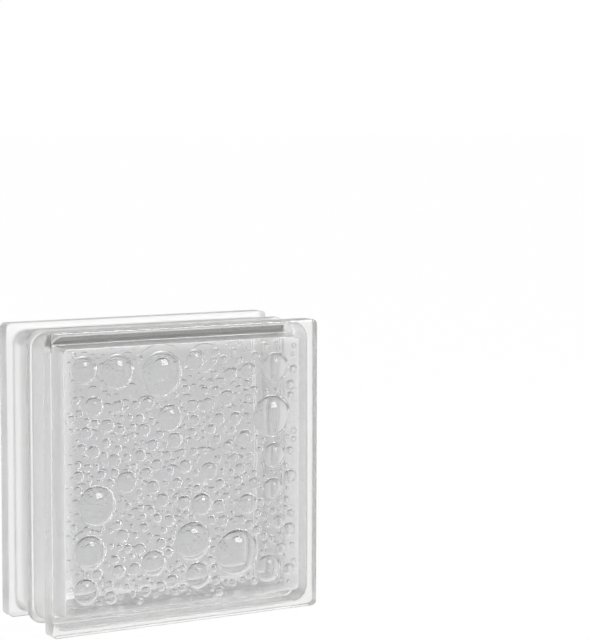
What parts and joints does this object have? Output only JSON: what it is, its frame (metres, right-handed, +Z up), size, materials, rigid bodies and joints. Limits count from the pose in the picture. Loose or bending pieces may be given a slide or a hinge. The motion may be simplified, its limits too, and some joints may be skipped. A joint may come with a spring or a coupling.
{
  "type": "glass block",
  "caption": "Hollow square glass block of two fused half shells, one pane clear and one satin, with a round bubble relief inside and recessed mortar channels round the sides.",
  "frame": {"origin": "middle of the underside, on the floor that the flanges stand on", "axes": "+Z up, +X along the block's width, +Y from the clear pane to the satin pane"},
  "size_m": [0.19, 0.08, 0.19],
  "materials": {
    "clear_glass": "polished clear pane, frosted milky sides",
    "satin_glass": "satin etched pane, frosted milky sides"
  },
  "bodies": {
    "root": {"clear_half": "clear_glass", "satin_half": "satin_glass"}
  },
  "joints": []
}
